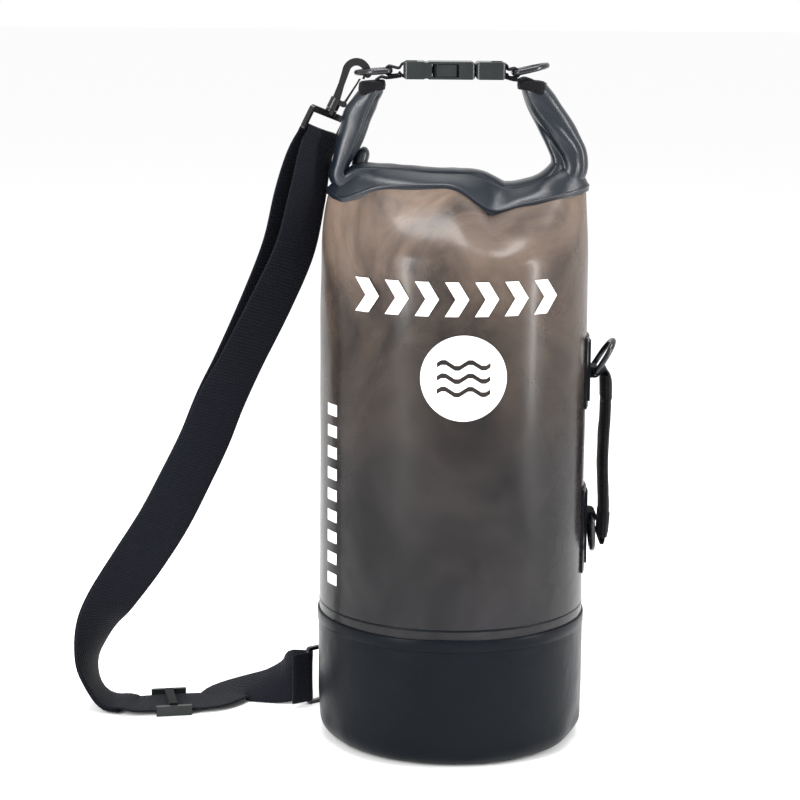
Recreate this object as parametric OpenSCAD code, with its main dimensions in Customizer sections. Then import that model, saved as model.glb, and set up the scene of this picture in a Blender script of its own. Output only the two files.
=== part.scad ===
// Roll-top dry bag: a welded tube with a smoky window, a shoulder strap and a side handle.
// The origin is the centre of the bag's bottom, +Z up, +X towards the side handle, -Y the front.

/* [Bag] */
// Outside diameter of the bag
bag_d = 190; // [180:1:200]
// Height of the solid-coloured base band
base_h = 92; // [80:1:100]
// Radius of the rounded bottom corner
corner_r = 15; // [10:1:18]
// Thickness of the coated base fabric
base_t = 0.8; // [0.6:0.1:1.2]
// Thickness of the clear film
film_t = 0.6; // [0.4:0.1:0.8]
// Height where the film starts to narrow towards the mouth
shoulder_z = 345; // [342:1:350]
// Height of the seam between the film and the collar
seam_z = 380; // [378:1:382]

/* [Closure] */
// Depth of the rolled mouth, front to back
roll_w = 28; // [24:1:32]
// Depth of the roll's upturned ends
ear_w = 23; // [20:1:24]
// Width of the buckle webbing
web_w = 25; // [20:1:25]
// Thickness of all thin webbing
web_t = 1.4; // [1:0.1:1.6]
// Width of the buckle, front to back
buckle_w = 35; // [33:0.5:36]
// Thickness of the buckle
buckle_t = 12; // [11:0.5:12]

/* [Rings] */
// Wire diameter of the D-rings
wire_d = 4; // [3:0.5:4]
// Distance from a closure ring's bar to its apex
ring_l = 23; // [22:0.5:24]
// Distance from a handle ring's bar to its apex
side_ring_l = 25; // [23:0.5:26]

/* [Shoulder strap] */
// Width of the shoulder strap
strap_w = 38; // [30:1:38]
// Thickness of the shoulder strap
strap_t = 1.6; // [1.2:0.1:1.8]

/* [Hidden] */
$fn = 48;

bag_r = bag_d / 2;
film_r = bag_r - base_t;
wire_r = wire_d / 2;
gap = 0.3;
ring_half = 15;

// Colours
c_base = [0.16, 0.18, 0.21];
c_film = [0.42, 0.38, 0.35, 0.75];
c_web = [0.10, 0.11, 0.14];
c_hard = [0.07, 0.07, 0.08];
c_print = "white";

// ---------- shared shapes ----------

function unit(v) = v / norm(v);
function at(list, i) = list[max(0, min(len(list) - 1, i))];

// Rectangle with round corners, centred
module round_rect(w, h, r) {
    square([w - 2 * r, h], center = true);
    square([w, h - 2 * r], center = true);
    for (x = [-1, 1], y = [-1, 1])
        translate([x * (w / 2 - r), y * (h / 2 - r)]) circle(r);
}

// Slot shape with round ends between two points
module stadium(p, q, r) {
    len = norm(q - p);
    ang = atan2(q[1] - p[1], q[0] - p[0]);
    translate(p) circle(r);
    translate(q) circle(r);
    translate(p) rotate(ang) translate([0, -r]) square([len, 2 * r]);
}

// Extrude an outline drawn in X and Z along Y, centred
module along_y(depth) {
    rotate([90, 0, 0]) linear_extrude(depth, center = true) children();
}

// Place a local frame with its X, Y and Z axes and its origin
module in_frame(o, x, y, z) {
    multmatrix([
        [x[0], y[0], z[0], o[0]],
        [x[1], y[1], z[1], o[1]],
        [x[2], y[2], z[2], o[2]],
        [0, 0, 0, 1]]) children();
}

// Ring-shaped wall
module tube(ro, ri, h) {
    difference() {
        cylinder(h = h, r = ro, $fn = 96);
        translate([0, 0, -1]) cylinder(h = h + 2, r = ri, $fn = 96);
    }
}

// Curved patch on the bag's side: centred on +X, between two heights
module wall_patch(ri, ro, width, z0, z1) {
    intersection() {
        translate([0, 0, z0]) tube(ro, ri, z1 - z0);
        translate([0, -width / 2, z0]) cube([2 * bag_r, width, z1 - z0]);
    }
}

// D-ring: straight bar on the Y axis, apex at +X
module d_ring(l) {
    corner = 4;
    arm = l - ring_half;
    translate([0, -ring_half + corner, 0]) rotate([-90, 0, 0])
        cylinder(h = 2 * (ring_half - corner), r = wire_r);
    for (s = [-1, 1]) {
        translate([corner, s * (ring_half - corner), 0]) mirror([0, s < 0 ? 0 : 1, 0])
            rotate([0, 0, 180]) rotate_extrude(angle = 90)
                translate([corner, 0]) circle(wire_r);
        translate([corner, s * ring_half, 0]) rotate([0, 90, 0])
            cylinder(h = arm - corner, r = wire_r);
    }
    translate([arm, 0, 0]) rotate([0, 0, -90]) rotate_extrude(angle = 180)
        translate([ring_half, 0]) circle(wire_r);
}

// ---------- bag shell ----------

// Radius where the base band's inner flange ends
flange_r = 62;

module bottom_disc() {
    color(c_base) {
        cylinder(h = base_t + 0.1, r = flange_r - gap, $fn = 96);
        translate([0, 0, base_t + 0.05]) cylinder(h = 1.2, r = bag_r - corner_r, $fn = 96);
    }
}

module base_outline(grow) {
    r = corner_r + grow;
    translate([0, -grow]) square([bag_r - corner_r, base_h + grow]);
    translate([0, corner_r]) square([bag_r + grow, base_h - corner_r]);
    translate([bag_r - corner_r, corner_r]) circle(r, $fn = 64);
}

module base_band() {
    color(c_base) rotate_extrude($fn = 96) intersection() {
        difference() {
            base_outline(0);
            translate([0, 0.01]) base_outline(-base_t);
        }
        translate([flange_r, 0]) square([bag_r, base_h]);
    }
}

module base_weld_band() {
    color(c_base) translate([0, 0, base_h - 9]) tube(bag_r + 0.4, bag_r, 9);
}

// Half width and half depth of the film above the shoulder: height, X, Y
film_rings = [
    [base_h - 8, film_r, film_r], [shoulder_z, film_r, film_r],
    [shoulder_z + 10, film_r, film_r - 7], [shoulder_z + 20, film_r - 1, film_r - 20],
    [shoulder_z + 29, film_r - 3, film_r - 37], [seam_z, film_r - 6, film_r - 50]];
collar_rings = [[0, film_r - 6, film_r - 50], [0.5, film_r - 8, film_r - 66],
    [1, film_r - 10, film_r - 80]];
around = 64;

// Ring of points round an oval
function oval(a, b) = [for (k = [0:around - 1])
    [a * cos(360 * k / around), b * sin(360 * k / around)]];

// Thin shell through outer rings and inner rings of equal length
module shell(outer, inner) {
    rows = len(outer);
    pts = [for (r = outer) each r, for (r = inner) each r];
    function pid(side, row, k) = (side * rows + row) * around + k % around;
    walls = [for (row = [0:rows - 2], k = [0:around - 1]) each [
        [pid(0, row, k), pid(0, row + 1, k), pid(0, row + 1, k + 1)],
        [pid(0, row, k), pid(0, row + 1, k + 1), pid(0, row, k + 1)],
        [pid(1, row, k), pid(1, row + 1, k + 1), pid(1, row + 1, k)],
        [pid(1, row, k), pid(1, row, k + 1), pid(1, row + 1, k + 1)]]];
    rims = [for (k = [0:around - 1]) each [
        [pid(0, 0, k), pid(0, 0, k + 1), pid(1, 0, k + 1)],
        [pid(0, 0, k), pid(1, 0, k + 1), pid(1, 0, k)],
        [pid(0, rows - 1, k), pid(1, rows - 1, k + 1), pid(0, rows - 1, k + 1)],
        [pid(0, rows - 1, k), pid(1, rows - 1, k), pid(1, rows - 1, k + 1)]]];
    polyhedron(pts, concat(walls, rims), convexity = 4);
}

module body_film() {
    function row(r, t) = [for (p = oval(r[1] - t, r[2] - t)) [p[0], p[1], r[0]]];
    color(c_film) shell([for (r = film_rings) row(r, 0)], [for (r = film_rings) row(r, film_t)]);
}

// Underside of the roll at each X, which the collar runs up to
function roll_under(x) = lookup(x, [[-95, 391], [-84, 392], [-72, 392.2], [-45, 391.5],
    [0, 389.8], [20, 386], [38, 381.5], [58, 382.4], [76, 390], [95, 391]]);

module collar() {
    function row(r, t) = [for (p = oval(r[1] - t, r[2] - t))
        [p[0], p[1], seam_z + r[0] * (roll_under(p[0]) - seam_z)]];
    color(c_base) shell([for (r = collar_rings) row(r, 0)],
        [for (r = collar_rings) row(r, film_t)]);
}

module back_seam_strip() {
    strip_w = 16;
    color(c_film) rotate([0, 0, 90])
        wall_patch(film_r + 0.02, film_r + 0.5, strip_w, base_h, shoulder_z - 3);
}

// ---------- rolled mouth ----------

// Centre line of the roll seen from the front: x, z, half thickness
roll_path = [
    [-58, 456, 7], [-62, 449, 9], [-69, 434, 9.5], [-74.5, 421, 8.5], [-79, 408, 7.5],
    [-72, 401, 8], [-45, 400, 8], [0, 398.5, 8], [20, 395, 8], [38, 390, 8], [58, 392, 9],
    [76, 403, 11], [73, 426, 11], [63, 445, 10], [54, 455, 9]];
// Height at which both ends are cut off
ear_top = 461;

module rolled_mouth() {
    n = len(roll_path);
    color(c_base) intersection() {
        for (i = [0:n - 2]) hull() for (p = [roll_path[i], roll_path[i + 1]])
            translate([p[0], 0, p[1]]) rotate([90, 0, 0])
                cylinder(h = p[1] < 415 ? roll_w : ear_w, r = p[2], center = true, $fn = 24);
        translate([-bag_d, -bag_d, 0]) cube([2 * bag_d, 2 * bag_d, ear_top]);
    }
}

// Unit normal of the roll's centre line at point i
function roll_normal(i) =
    let (d = at(roll_path, i + 1) - at(roll_path, i - 1), n = [-d[1], d[0]])
    n / norm(n);

// Flexible strip welded along the mouth, wound inside the roll
module mouth_stiffener() {
    t = 0.8;
    last = len(roll_path) - 1;
    inner = [for (i = [0:last])
        [roll_path[i][0], roll_path[i][1]] + roll_normal(i) * t];
    outer = [for (i = [last:-1:0])
        [roll_path[i][0], roll_path[i][1]] - roll_normal(i) * t];
    color("gray") along_y(ear_w - 5) polygon(concat(inner, outer));
}

module ear_binding(x0, x1, z1) {
    color(c_web) translate([(x0 + x1) / 2, 0, (ear_top + z1) / 2 + gap / 2])
        rotate([90, 0, 0]) linear_extrude(web_w + 2, center = true)
            round_rect(x1 - x0, z1 - ear_top - gap, 1.5);
}

module left_ear_binding() { ear_binding(-66, -50, 466); }
module right_ear_binding() { ear_binding(44, 61, 467); }

// ---------- closure webbing and rings ----------

buckle_z = 473.5;
loop_r = 4.6;
left_pin = [-46.1, 472.9];
right_pin = [39.9, 472];

// Webbing folded round the buckle's bar and the ring's bar, and sewn to the ear
module web_loop(p, q, foot) {
    along_y(web_w) difference() {
        union() {
            stadium(p, q, loop_r + web_t);
            polygon(foot);
        }
        stadium(p, q, loop_r);
    }
}

module left_tab() {
    color(c_web) web_loop([-34.7, buckle_z], [-44.4, buckle_z],
        [[-57, 466], [-51, 466], [-45.5, 468], [-48.2, 469.2], [-49.8, 471.5]]);
}

module right_tab() {
    color(c_web) web_loop([31, buckle_z], [38.2, buckle_z],
        [[44, 472.5], [38, 467.9], [45, 467], [54, 467]]);
}

module left_ring() {
    color(c_hard) translate([left_pin[0], 0, left_pin[1]]) rotate([0, 4, 180])
        d_ring(ring_l);
}

module right_ring() {
    color(c_hard) translate([right_pin[0], 0, right_pin[1]]) rotate([0, -13, 0])
        d_ring(ring_l);
}

// ---------- buckle ----------

socket_x0 = -36.8;
socket_x1 = 12.6;
window_x0 = -17.2;
window_x1 = 1.2;
wall = 1.6;
prong_root = [15, 9];

// Block with rounded plan and rounded side view
module buckle_block(x0, x1) {
    w = x1 - x0;
    intersection() {
        translate([(x0 + x1) / 2, 0, buckle_z - buckle_t / 2]) linear_extrude(buckle_t)
            round_rect(w, buckle_w, 3);
        translate([(x0 + x1) / 2, 0, buckle_z]) along_y(buckle_w) round_rect(w, buckle_t, 2.5);
    }
}

module buckle_socket() {
    inner_w = buckle_w - 2 * wall;
    inner_t = buckle_t - 2 * wall;
    color(c_hard) difference() {
        buckle_block(socket_x0, socket_x1);
        translate([-25, -inner_w / 2, buckle_z - inner_t / 2]) cube([40, inner_w, inner_t]);
        translate([window_x0, -buckle_w, buckle_z - inner_t / 2])
            cube([window_x1 - window_x0, 2 * buckle_w, inner_t]);
        translate([-32.4, -13.2, buckle_z - buckle_t]) cube([5, 26.4, 2 * buckle_t]);
        // thinner bar for the webbing
        for (s = [-1, 1])
            translate([-38, -13.2, buckle_z + s * 9 - 5.2]) cube([8, 26.4, 10.4]);
        // shallow grip recess round the middle of both faces
        for (s = [-1, 1])
            translate([-21, 0, buckle_z + s * (buckle_t / 2 + 2.4)]) rotate([90, 0, 0])
                cylinder(h = buckle_w + 2, r = 3, center = true);
    }
}

module buckle_plug() {
    color(c_hard) difference() {
        union() {
            buckle_block(12.9, 33.5);
            translate([-20, -3.5, buckle_z - 2.5]) cube([34, 7, 5]);
        }
        // pockets that the prongs' roots turn in
        for (s = [-1, 1]) {
            translate([prong_root[0], s * prong_root[1], buckle_z - 4.4])
                cylinder(h = 8.8, r = 2.75);
            translate([12, s * prong_root[1] - 2.8, buckle_z - 4.4])
                cube([3, 5.6, 8.8]);
        }
        translate([24, -13.2, buckle_z - buckle_t]) cube([5, 26.4, 2 * buckle_t]);
        for (s = [-1, 1])
            translate([28.5, -13.2, buckle_z + s * 9 - 5.2]) cube([8, 26.4, 10.4]);
    }
}

// Side-release arm with its thumb pad
module prong() {
    arm_t = 2.2;
    color(c_hard) translate([0, 0, buckle_z - 4]) linear_extrude(8) {
        translate(prong_root) circle(2.45);
        polygon([
            [15, prong_root[1] - 1.2], [15, prong_root[1] + 2],
            [2.4, 14], [-0.6, 17.3], [-14, 17.3], [-16.6, 14.5],
            [-16.6, 11.5], [-4, 14.4 - arm_t], [5, 13 - arm_t]]);
    }
}

module front_prong() { mirror([0, 1, 0]) prong(); }
module rear_prong() { prong(); }

// ---------- snap hooks ----------

// Local frame: origin on the swivel axis level with the eye, X across towards the gate,
// Y down the shank, Z through the hook's thickness
eye_b = 4.2;
hook_t = 5;
gate_pin = [5.9, 23.5];
post_r = 2.0;
bore_r = 2.05;

module hook_body() {
    nose_a = -2.5;
    linear_extrude(hook_t, center = true) {
        difference() {
            translate([eye_b, 0]) circle(10);
            translate([eye_b, 0]) circle(4.8);
            translate([eye_b, nose_a]) square([12, 14]);
            translate([-1.2, 0]) square([20, 12]);
        }
        polygon([[-5.8, 0], [-0.6, 0], [0.6, 12], [2.4, 21.5], [2.4, 23], [-3, 23], [-3.8, 12]]);
        translate([eye_b + 7.4, nose_a]) circle(2.6);
        translate([eye_b + 5.1, nose_a]) square([1.8, 4.4]);
    }
    // swivel barrel with a headed post inside it
    difference() {
        translate([0, 22, 0]) rotate([-90, 0, 0]) cylinder(h = 8, r = 4.2);
        translate([0, 23, 0]) rotate([-90, 0, 0]) cylinder(h = 3, r = 3.4);
        translate([0, 22.5, 0]) rotate([-90, 0, 0]) cylinder(h = 8, r = bore_r);
        translate([gate_pin[0], gate_pin[1], 0]) cylinder(h = 3.8, r = 1.9, center = true);
    }
    // two ears that carry the gate's pin
    for (s = [-1, 1]) translate([0, 0, s * 2.6]) linear_extrude(1.2, center = true)
        difference() {
            union() {
                translate([2.2, 22]) square([gate_pin[0] - 2.2, 3.6]);
                translate(gate_pin) circle(2.1);
            }
            translate(gate_pin) circle(0.95);
        }
}

module hook_gate() {
    tip = [8.2, 5.5];
    linear_extrude(3.2, center = true) {
        translate(gate_pin) circle(1.5);
        polygon([[gate_pin[0] - 0.9, gate_pin[1]], [gate_pin[0] + 0.9, gate_pin[1]],
            [tip[0] + 0.7, 2.5], [tip[0] - 0.8, 3.1], [tip[0] - 0.8, tip[1]]]);
    }
    translate([gate_pin[0], gate_pin[1], 0]) cylinder(h = 6.2, r = 0.9, center = true);
}

// Rectangular loop for the strap with the hook's swivel post; Z of the frame is its width
module strap_loop() {
    out_w = 44;
    bar = 2.6;
    a0 = 33;
    a1 = 48;
    rotate([0, 0, 90]) rotate([90, 0, 0]) {
        linear_extrude(3.4, center = true) difference() {
            translate([(a0 + a1) / 2 + 0.5, 0]) round_rect(a1 - a0 + 3.2, out_w, 3);
            translate([a0 + 3.4, -out_w / 2 + bar]) square([a1 - a0 - 4, out_w - 2 * bar]);
        }
        translate([30.4, 0, 0]) rotate([0, 90, 0]) cylinder(h = 3.5, r = 4);
        translate([25, 0, 0]) rotate([0, 90, 0]) cylinder(h = 6, r = post_r);
        translate([23.3, 0, 0]) rotate([0, 90, 0]) cylinder(h = 2, r = 3);
    }
}

// Upper hook frame: in the XZ plane, hanging from the left ring
tilt = 26.1;
u_down = [-sin(tilt), 0, -cos(tilt)];
u_side = [cos(tilt), 0, -sin(tilt)];
upper_o = [-72.9, 0, 473.1];
// How far the strap's width is turned from the hook's plane
twist = 54;
w_top = u_side * cos(twist) + [0, sin(twist), 0];

module upper_frame() { in_frame(upper_o, u_side, u_down, [0, 1, 0]) children(); }
module upper_hook() { color(c_hard) upper_frame() hook_body(); }
module upper_hook_gate() { color(c_hard) upper_frame() hook_gate(); }
module upper_strap_loop() {
    color(c_hard) in_frame(upper_o, cross(u_down, w_top), u_down, w_top) strap_loop();
}

// Lower hook frame: flat, level with the base ring
lower_dir = 220;
v_out = [cos(lower_dir), sin(lower_dir), 0];
v_side = [-sin(lower_dir), cos(lower_dir), 0] * -1;
base_pin = [-46.4, 87.2, 22];
lower_eye = base_pin + [-ring_l, 0, 0];
lower_o = lower_eye - v_side * eye_b;

module lower_frame() { in_frame(lower_o, v_side, v_out, [0, 0, 1]) children(); }
module lower_hook() { color(c_hard) lower_frame() hook_body(); }
module lower_hook_gate() { color(c_hard) lower_frame() hook_gate(); }
module lower_strap_loop() {
    color(c_hard) in_frame(lower_o, cross(v_out, [0, 0, 1]), v_out, [0, 0, 1]) strap_loop();
}

// ---------- base attachment ----------

base_az = 118;

module base_patch() {
    color(c_base) rotate([0, 0, base_az]) wall_patch(bag_r + 0.02, bag_r + 1.2, 44, 4, 40);
}

// Webbing loop round an upright or level bar: outline in the plane across the bar
module pin_loop(reach) {
    difference() {
        union() {
            circle(wire_r + gap + web_t);
            translate([-reach, -wire_r - gap - web_t]) square([reach, 2 * (wire_r + gap + web_t)]);
        }
        circle(wire_r + gap);
    }
}

module base_tab() {
    color(c_web) translate([0, 0, base_pin[2] - web_w / 2 + 1]) linear_extrude(web_w - 5)
        translate([base_pin[0], base_pin[1]]) rotate(base_az) difference() {
            pin_loop(6);
            translate([-norm([base_pin[0], base_pin[1]]), 0])
                circle(bag_r + 1.3, $fn = 96);
        }
    color(c_web) rotate([0, 0, base_az])
        wall_patch(bag_r + 1.22, bag_r + 1.62, 36, base_pin[2] - web_w / 2 + 1,
            base_pin[2] + web_w / 2 - 4);
}

module base_ring() {
    color(c_hard) translate(base_pin) rotate([0, 0, 180]) rotate([90, 0, 0]) d_ring(ring_l);
}

// ---------- side handle ----------

upper_pin = [99.5, 264];
lower_pin = [99.5, 160];
upper_lean = 58;
lower_lean = -87;

module handle_patch(z0, z1) {
    color(c_base) wall_patch(bag_r + 0.02, bag_r + 1.2, 46, z0, z1);
}
module handle_upper_patch() {
    color(c_base) wall_patch(film_r + 0.02, bag_r + 0.7, 46, 240, 290);
}
module handle_lower_patch() {
    color(c_base) wall_patch(film_r + 0.02, bag_r + 0.7, 46, 122, 182);
}

module handle_tab(pin, low, high) {
    color(c_web) along_y(web_w - 4) translate(pin) difference() {
        pin_loop(4.5);
        translate([-pin[0], -20]) square([bag_r + 0.9, 40]);
    }
    color(c_web) wall_patch(bag_r + 0.72, bag_r + 2, web_w, pin[1] + low, pin[1] + high);
}

module handle_upper_tab() { handle_tab(upper_pin, -20, 22); }
module handle_lower_tab() { handle_tab(lower_pin, -33, 18); }
module handle_upper_ring() {
    color(c_hard) translate([upper_pin[0], 0, upper_pin[1]]) rotate([0, -upper_lean, 0])
        d_ring(side_ring_l);
}
module handle_lower_ring() {
    color(c_hard) translate([lower_pin[0], 0, lower_pin[1]]) rotate([0, -lower_lean, 0])
        d_ring(side_ring_l);
}

grip_x = 107.5;
grip_top = 268;
grip_low = 138;

// Handle webbing: out from the upper ring, down behind the grip and back in below
module handle_webbing() {
    t = web_t;
    color(c_web) along_y(web_w - 2) polygon([
        [103.4, 263.4], [grip_x - 1, grip_top - 1], [grip_x + t, grip_top],
        [grip_x + t, grip_low], [grip_x - t, grip_low - 1], [101, 154.6],
        [101 + t, 155.6], [grip_x - t, grip_low + 3], [grip_x, grip_low + 5],
        [grip_x, grip_top - 5], [104, 261.6]]);
}

module handle_sleeve() {
    sleeve_t = 7.5;
    sleeve_w = 34;
    color(c_web) difference() {
        along_y(sleeve_w) translate([grip_x + 0.3, (grip_top + grip_low + 5) / 2])
            round_rect(sleeve_t, grip_top - grip_low - 19, 2);
        translate([grip_x - 0.05, -web_w / 2 + 0.9, grip_low])
            cube([web_t + 0.1, web_w - 1.8, grip_top - grip_low]);
    }
}

// ---------- shoulder strap ----------

// Turn from the hook's side direction towards +Y, seen along the hanging strap
function turned(a) = u_side * cos(a) + [0, sin(a), 0];
// Tilt of a strap that lies on the ground and rises onto its edge
function tilted(a) = [0, cos(a), sin(a)];

slider_c = [-206, 43, 3.2];
slider_dir = 11;
s_along = [cos(slider_dir), sin(slider_dir), 0];
s_across = [-sin(slider_dir), cos(slider_dir), 0];

// Bar of each loop that the strap goes round
lower_bar = lower_o + v_out * 48.75;
top_bar = upper_o + u_down * 48.75;

// Single layer from the lower loop to the slider: point and width direction
single_run = [
    [lower_bar + v_out * 6 - v_side * 3.9, [0, 0, 1]],
    [lower_bar - v_side * 4, [0, 0, 1]],
    [lower_bar - v_out * 3.9, [0, 0, 1]],
    [lower_bar + v_side * 4, [0, 0, 1]],
    [[-112, 57.5, 21.5], [0, 0.05, 1]],
    [[-118.5, 61, 18.4], tilted(66)],
    [[-126.5, 66, 13.4], tilted(38)],
    [[-139, 71, 9.3], tilted(21)],
    [[-152, 75, 6.3], tilted(11)],
    [[-163, 70, 4.5], tilted(5)],
    [[-171, 56, 3.6], s_across],
    [slider_c + s_along * 26, s_across],
    [slider_c, s_across],
    [slider_c - s_along * 26, s_across]];

// Double layer from the slider up to the upper loop: point, width direction, half spacing
double_run = [
    [[-238, 40, 3.2], [0, 1, 0], 1.3],
    [[-252, 44, 4], [0, 1, 0], 1.3],
    [[-262, 47, 11], [0.05, 1, -0.05], 1.2],
    [[-267, 48, 24], turned(80), 1.2],
    [[-267, 46, 40], turned(68), 1.2],
    [[-261, 42, 62], turned(50), 1.2],
    [[-249, 35, 84], turned(30), 1.2],
    [[-228, 27, 116], turned(18), 1.2],
    [[-208, 20, 148], turned(17), 1.2],
    [[-192, 14, 179], turned(20), 1.2],
    [[-177, 9, 210], turned(25), 1.3],
    [[-165, 4, 240], turned(30), 1.6],
    [[-151, -1, 270], turned(38), 2.6],
    [[-131, -4, 313], turned(40), 5],
    [[-116, -5, 350], turned(44), 7],
    [[-108, -5, 385], turned(48), 7],
    [[-102.3, -3.5, 410], turned(52), 5]];

function side_step(run, i) = cross(
    unit(at(run, i + 1)[0] - at(run, i - 1)[0]), unit(run[i][1]));

// Front layer going up, round the bar, and the back layer going down
front_layer = [for (i = [0:len(double_run) - 1])
    [double_run[i][0] - side_step(double_run, i) * double_run[i][2], double_run[i][1]]];
back_layer = [for (i = [len(double_run) - 1:-1:0])
    [double_run[i][0] + side_step(double_run, i) * double_run[i][2], double_run[i][1]]];
top_out = cross(u_down, w_top) * -1;
turn_r = 3.5;
top_turn = [for (p = [[-1, -2.2], [-1, 0], [-0.707, 0.707], [0, 1], [0.707, 0.707], [1, 0], [1, -2.2]])
    [top_bar + (top_out * p[0] - u_down * p[1]) * turn_r, w_top]];
strap_stations = concat(single_run, front_layer, top_turn, back_layer);

// Smooth curve through the stations
function spline(p0, p1, p2, p3, t) = 0.5 * (2 * p1 + (p2 - p0) * t
    + (2 * p0 - 5 * p1 + 4 * p2 - p3) * t * t + (3 * p1 - p0 - 3 * p2 + p3) * t * t * t);
strap_steps = 2;
function strap_value(k, i, t) = spline(at(strap_stations, i - 1)[k], at(strap_stations, i)[k],
    at(strap_stations, i + 1)[k], at(strap_stations, i + 2)[k], t);
strap_rings = concat(
    [for (i = [0:len(strap_stations) - 2], j = [0:strap_steps - 1])
        [strap_value(0, i, j / strap_steps), strap_value(1, i, j / strap_steps)]],
    [strap_stations[len(strap_stations) - 1]]);

// Four corners of the strap's section at ring i
function section(i) =
    let (t = unit(at(strap_rings, i + 1)[0] - at(strap_rings, i - 1)[0]),
        w0 = unit(strap_rings[i][1]),
        w = unit(w0 - t * (w0 * t)),
        n = cross(t, w),
        c = strap_rings[i][0],
        hw = w * strap_w / 2,
        hn = n * strap_t / 2)
    [c - hw - hn, c + hw - hn, c + hw + hn, c - hw + hn];

module shoulder_strap() {
    n = len(strap_rings);
    pts = [for (i = [0:n - 1]) each section(i)];
    sides = [for (i = [0:n - 2], j = [0:3]) let (k = (j + 1) % 4) each [
        [4 * i + j, 4 * (i + 1) + j, 4 * (i + 1) + k],
        [4 * i + j, 4 * (i + 1) + k, 4 * i + k]]];
    color(c_web) polyhedron(pts, concat(sides, [[0, 1, 2, 3]],
        [[4 * n - 1, 4 * n - 2, 4 * n - 3, 4 * n - 4]]), convexity = 10);
}

// Three-bar slider: the outer bars lie under the strap, the middle bar over it
module strap_slider() {
    out_w = 46;
    out_l = 26;
    color(c_hard) in_frame([slider_c[0], slider_c[1], 0], s_along, s_across, [0, 0, 1]) {
        for (x = [-1, 1]) translate([x * (out_l / 2 - 1.5) - 1.5, -out_w / 2, 0.3])
            cube([3, out_w, 1.8]);
        for (y = [-1, 1]) translate([-out_l / 2, y * (out_w / 2 - 1.5) - 1.5, 0.3])
            cube([out_l, 3, 7.4]);
        translate([-1.5, -out_w / 2, 5.4]) cube([3, out_w, 2.3]);
    }
}

// Sewn end of the strap, folded round the slider's middle bar
module slider_wrap() {
    color(c_web) in_frame([slider_c[0], slider_c[1], 6.6], s_along, s_across, [0, 0, 1])
        along_y(strap_w) difference() {
            round_rect(6.2, 4.6, 1.2);
            square([3.4, 2.5], center = true);
        }
}

// ---------- prints ----------

module print_shell() { tube(film_r + 0.35, film_r + 0.05, shoulder_z); }

// Row of arrowheads across the front
module front_print() {
    count = 7;
    pitch = 20;
    arm = 9;
    half_h = 11.5;
    color(c_print) intersection() {
        print_shell();
        translate([0, -bag_r, 326]) rotate([90, 0, 0]) linear_extrude(120, center = true)
            for (i = [0:count - 1]) translate([(i - (count - 1) / 2) * pitch, 0])
                polygon([[-8, half_h], [-8 + arm, half_h], [8, 0], [-8 + arm, -half_h],
                    [-8, -half_h], [-1, 0]]);
    }
}

// Round badge with three cut-out waves
module front_badge() {
    badge_r = 29;
    color(c_print) intersection() {
        print_shell();
        translate([5, -bag_r, 273]) rotate([90, 0, 0]) linear_extrude(70, center = true)
            difference() {
                circle(badge_r, $fn = 64);
                for (k = [-1:1]) translate([0, 9 * k]) polygon(concat(
                    [for (x = [-18:3:18]) [x, 1.7 + 2.2 * sin(x * 20)]],
                    [for (x = [18:-3:-18]) [x, -1.7 + 2.2 * sin(x * 20)]]));
            }
    }
}

// Upright column of dashes on the left side
module side_print() {
    color(c_print) rotate([0, 0, 207]) intersection() {
        print_shell();
        for (k = [0:8]) translate([bag_r - 20, -7, 118 + 15 * k]) cube([40, 14, 8]);
    }
}

bottom_disc();
base_band();
base_weld_band();
body_film();
back_seam_strip();
collar();
rolled_mouth();
mouth_stiffener();
left_ear_binding();
right_ear_binding();
left_tab();
right_tab();
left_ring();
right_ring();
buckle_socket();
buckle_plug();
front_prong();
rear_prong();
upper_hook();
upper_hook_gate();
upper_strap_loop();
shoulder_strap();
strap_slider();
slider_wrap();
lower_strap_loop();
lower_hook();
lower_hook_gate();
base_patch();
base_tab();
base_ring();
handle_upper_patch();
handle_upper_tab();
handle_upper_ring();
handle_lower_patch();
handle_lower_tab();
handle_lower_ring();
handle_webbing();
handle_sleeve();
front_print();
front_badge();
side_print();
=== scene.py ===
import math

import bmesh
import bpy
import numpy as np
from mathutils import Matrix, Vector, noise


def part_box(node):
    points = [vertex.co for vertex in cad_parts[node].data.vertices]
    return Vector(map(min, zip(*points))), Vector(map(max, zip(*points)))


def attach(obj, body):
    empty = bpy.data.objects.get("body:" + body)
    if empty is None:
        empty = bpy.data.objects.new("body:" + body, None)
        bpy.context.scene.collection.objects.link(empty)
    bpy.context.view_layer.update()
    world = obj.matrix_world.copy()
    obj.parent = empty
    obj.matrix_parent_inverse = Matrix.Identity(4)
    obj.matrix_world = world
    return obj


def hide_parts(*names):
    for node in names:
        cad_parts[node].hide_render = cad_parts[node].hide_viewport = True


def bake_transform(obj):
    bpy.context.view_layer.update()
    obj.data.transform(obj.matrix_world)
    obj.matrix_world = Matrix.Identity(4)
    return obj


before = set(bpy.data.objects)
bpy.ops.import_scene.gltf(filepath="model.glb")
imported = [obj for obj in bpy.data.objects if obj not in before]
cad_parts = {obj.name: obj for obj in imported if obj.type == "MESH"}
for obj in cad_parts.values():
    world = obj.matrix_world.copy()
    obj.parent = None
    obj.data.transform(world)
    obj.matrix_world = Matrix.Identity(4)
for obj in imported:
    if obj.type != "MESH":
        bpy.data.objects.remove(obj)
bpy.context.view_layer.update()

MM = 0.001


# ---------- sizes taken from the frame ----------

def half_width(node):
    low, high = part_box(node)
    return (high.x - low.x) / 2


FILM_R = half_width("body_film")
BASE_R = half_width("base_band")
BASE_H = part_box("base_band")[1].z
FILM_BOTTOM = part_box("body_film")[0].z
SHOULDER_Z = 345 * MM
BUCKLE_Z = (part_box("buckle_socket")[0].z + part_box("buckle_socket")[1].z) / 2


# ---------- small numeric helpers ----------

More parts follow.
